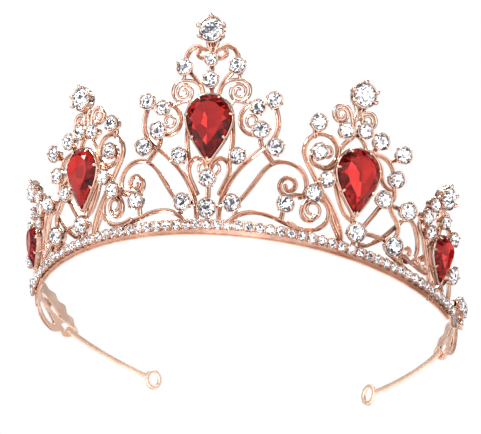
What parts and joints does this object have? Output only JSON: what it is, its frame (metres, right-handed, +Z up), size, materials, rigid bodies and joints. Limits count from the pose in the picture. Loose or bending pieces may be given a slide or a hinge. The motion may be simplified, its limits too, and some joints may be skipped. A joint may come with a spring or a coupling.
{
  "type": "tiara",
  "caption": "Open crown tiara with pierced scrollwork panels that rise to the middle, round claw-set stones, drop-shaped gems, pierced leaf ends and thin end wires with eyelets.",
  "frame": {"origin": "middle of the band's bottom edge at the front centre", "axes": "+Z up, square to the flat bottom of the band; the front looks along -Y; +X to the right half as seen from the front"},
  "size_m": [0.1546, 0.1647, 0.0496],
  "materials": {
    "rose_gold": "polished rose gold plate, pale and matt on the inside",
    "clear_crystal": "faceted clear crystal on a dark foil back",
    "red_gem": "faceted red glass gem"
  },
  "bodies": {
    "root": {"band_crystals": "clear_crystal", "band_cups": "rose_gold", "base_band": "rose_gold", "centre_crystals": "clear_crystal", "centre_cups": "rose_gold", "centre_filigree": "rose_gold", "centre_gem": "red_gem", "centre_gem_setting": "rose_gold", "centre_top_crystal": "clear_crystal", "centre_top_setting": "rose_gold", "left_end_wire": "rose_gold", "left_inner_crystals": "clear_crystal", "left_inner_cups": "rose_gold", "left_inner_filigree": "rose_gold", "left_inner_gem": "red_gem", "left_inner_gem_setting": "rose_gold", "left_inner_top_crystal": "clear_crystal", "left_inner_top_setting": "rose_gold", "left_leaf_crystals": "clear_crystal", "left_leaf_cups": "rose_gold", "left_leaf_end": "rose_gold", "left_link_crystal": "clear_crystal", "left_link_cup": "rose_gold", "left_link_scroll": "rose_gold", "left_outer_crystals": "clear_crystal", "left_outer_cups": "rose_gold", "left_outer_filigree": "rose_gold", "left_outer_gem": "red_gem", "left_outer_gem_setting": "rose_gold", "left_outer_top_crystal": "clear_crystal", "left_outer_top_setting": "rose_gold", "left_side_link_scroll": "rose_gold", "right_end_wire": "rose_gold", "right_inner_crystals": "clear_crystal", "right_inner_cups": "rose_gold", "right_inner_filigree": "rose_gold", "right_inner_gem": "red_gem", "right_inner_gem_setting": "rose_gold", "right_inner_top_crystal": "clear_crystal", "right_inner_top_setting": "rose_gold", "right_leaf_crystals": "clear_crystal", "right_leaf_cups": "rose_gold", "right_leaf_end": "rose_gold", "right_link_crystal": "clear_crystal", "right_link_cup": "rose_gold", "right_link_scroll": "rose_gold", "right_outer_crystals": "clear_crystal", "right_outer_cups": "rose_gold", "right_outer_filigree": "rose_gold", "right_outer_gem": "red_gem", "right_outer_gem_setting": "rose_gold", "right_outer_top_crystal": "clear_crystal", "right_outer_top_setting": "rose_gold", "right_side_link_scroll": "rose_gold"}
  },
  "joints": []
}
